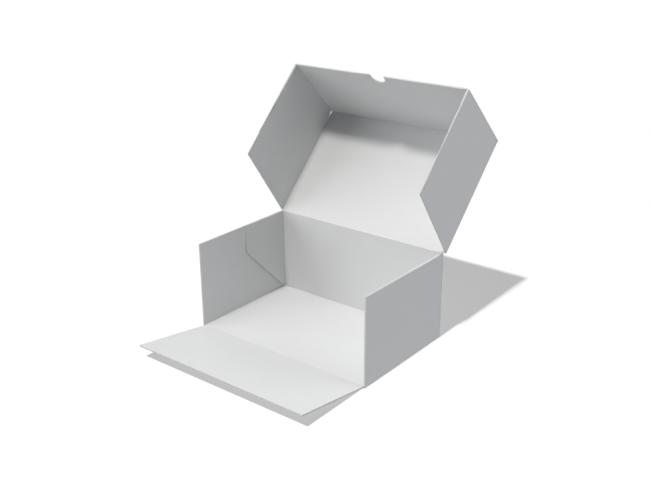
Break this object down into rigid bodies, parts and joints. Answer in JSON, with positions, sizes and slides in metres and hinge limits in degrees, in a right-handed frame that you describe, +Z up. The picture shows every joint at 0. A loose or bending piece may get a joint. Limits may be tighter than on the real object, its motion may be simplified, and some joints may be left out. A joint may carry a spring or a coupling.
{
  "type": "hinged lid cake box",
  "caption": "Folded white board cake box: an open-fronted tray, a deep lid swung open on the back wall, with a thumb notch, and a drop-down front flap.",
  "frame": {"origin": "centre of the tray floor's underside, on the surface that the box stands on", "axes": "+Z up, +Y to the back wall that carries the lid, -Y to the front flap, +X to the right as seen from the front"},
  "size_m": [0.2078, 0.3037, 0.244],
  "materials": {
    "tray_board": "matte white coated board",
    "lid_board": "matte white coated board",
    "flap_board": "matte white coated board"
  },
  "bodies": {
    "tray": {"tray": "tray_board"},
    "lid": {"lid": "lid_board"},
    "front_flap": {"front_flap": "flap_board"}
  },
  "joints": [
    {"name": "lid_hinge", "type": "hinge", "parent": "tray", "child": "lid", "pos_m": [0, 0.0638, 0.0903], "axis": [-1, 0, 0], "range_deg": [-134.5, 45.5]},
    {"name": "flap_hinge", "type": "hinge", "parent": "tray", "child": "front_flap", "pos_m": [0, -0.062, 0.0015], "axis": [-1, 0, 0], "range_deg": [-8.5, 81.5]}
  ]
}
